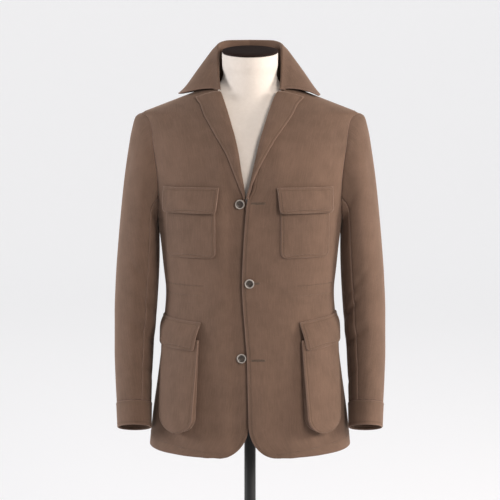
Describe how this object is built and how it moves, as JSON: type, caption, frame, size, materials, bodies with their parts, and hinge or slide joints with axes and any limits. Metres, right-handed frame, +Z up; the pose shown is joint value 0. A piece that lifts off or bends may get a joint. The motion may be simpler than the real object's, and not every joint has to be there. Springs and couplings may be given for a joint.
{
  "type": "safari jacket on a dress form",
  "caption": "Single-breasted safari jacket with notch lapels, flap patch pockets on the chest and bellows pockets on the skirt, hung on a bare dress form on a pole stand.",
  "frame": {"origin": "on the floor under the middle of the stand's base", "axes": "+Z up; the jacket's front faces -Y; the wearer's left is +X"},
  "size_m": [0.564, 0.34, 1.5322],
  "materials": {
    "cloth": "brushed brown moleskin",
    "horn": "dark horn, pale rim",
    "linen": "cream linen cover",
    "cap": "dark brown matt paint",
    "metal": "black satin paint"
  },
  "bodies": {
    "root": {"back": "cloth", "front_right": "cloth", "lapel_right": "cloth", "sleeve_top_right": "cloth", "sleeve_under_right": "cloth", "cuff_right": "cloth", "chest_pocket_right": "cloth", "chest_flap_right": "cloth", "pocket_face_right": "cloth", "pocket_gusset_right": "cloth", "pocket_flap_right": "cloth", "front_left": "cloth", "lapel_left": "cloth", "sleeve_top_left": "cloth", "sleeve_under_left": "cloth", "cuff_left": "cloth", "chest_pocket_left": "cloth", "chest_flap_left": "cloth", "pocket_face_left": "cloth", "pocket_gusset_left": "cloth", "pocket_flap_left": "cloth", "collar": "cloth", "button_top": "horn", "button_middle": "horn", "button_low": "horn", "form_body": "linen", "form_cap": "cap", "stand_pole": "metal", "stand_base": "metal"}
  },
  "joints": []
}
